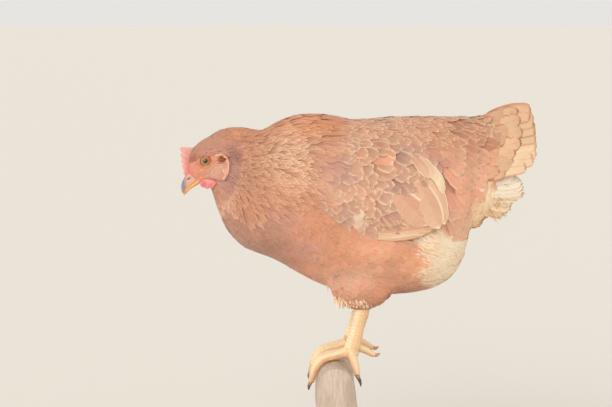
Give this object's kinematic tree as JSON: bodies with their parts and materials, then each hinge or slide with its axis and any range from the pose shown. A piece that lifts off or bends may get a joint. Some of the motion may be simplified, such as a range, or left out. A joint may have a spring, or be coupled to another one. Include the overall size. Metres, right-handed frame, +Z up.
{
  "type": "hen",
  "caption": "Life-size still model of a brown laying hen crouched forward on a cut length of wooden perch, held by a plain display stand.",
  "frame": {"origin": "middle of the underside of the stand's base, on the surface that it stands on", "axes": "+Z up; -X the way the hen faces; -Y the hen's left side, and the perch lies along Y"},
  "size_m": [0.4128, 0.2, 0.4243],
  "materials": {
    "feather_rust": "overlapping rust-brown contour feathers, matt with a soft sheen",
    "feather_tail": "buff and white flight feathers with rust shafts and edges",
    "eye": "wet, orange-brown iris with a black pupil",
    "comb": "red bare skin, finely pebbled",
    "earlobe": "pale pink bare skin",
    "bill": "horn, dark along the ridge and tip, yellow along the lower edge",
    "claw": "dark worn horn",
    "leg_scale": "overlapping yellow scutes, waxy",
    "perch_wood": "weathered grey-brown wood, worn smooth",
    "stand_wood": "dark stained and waxed board",
    "stand_steel": "satin rod"
  },
  "bodies": {
    "root": {"bill_lower": "bill", "bill_upper": "bill", "claw_hind_left": "claw", "claw_hind_right": "claw", "claw_inner_left": "claw", "claw_inner_right": "claw", "claw_middle_left": "claw", "claw_middle_right": "claw", "claw_outer_left": "claw", "claw_outer_right": "claw", "comb": "comb", "earlobe_left": "earlobe", "earlobe_right": "earlobe", "eye_left": "eye", "eye_right": "eye", "head": "feather_rust", "neck": "feather_rust", "shank_left": "leg_scale", "shank_right": "leg_scale", "stand_base": "stand_wood", "stand_perch": "perch_wood", "stand_rod_left": "stand_steel", "stand_rod_right": "stand_steel", "tail": "feather_tail", "thigh_left": "feather_rust", "thigh_right": "feather_rust", "toe_hind_left": "leg_scale", "toe_hind_right": "leg_scale", "toe_inner_left": "leg_scale", "toe_inner_right": "leg_scale", "toe_middle_left": "leg_scale", "toe_middle_right": "leg_scale", "toe_outer_left": "leg_scale", "toe_outer_right": "leg_scale", "trunk": "feather_rust", "wattle_left": "comb", "wattle_right": "comb", "wing_left": "feather_rust", "wing_right": "feather_rust"}
  },
  "joints": []
}
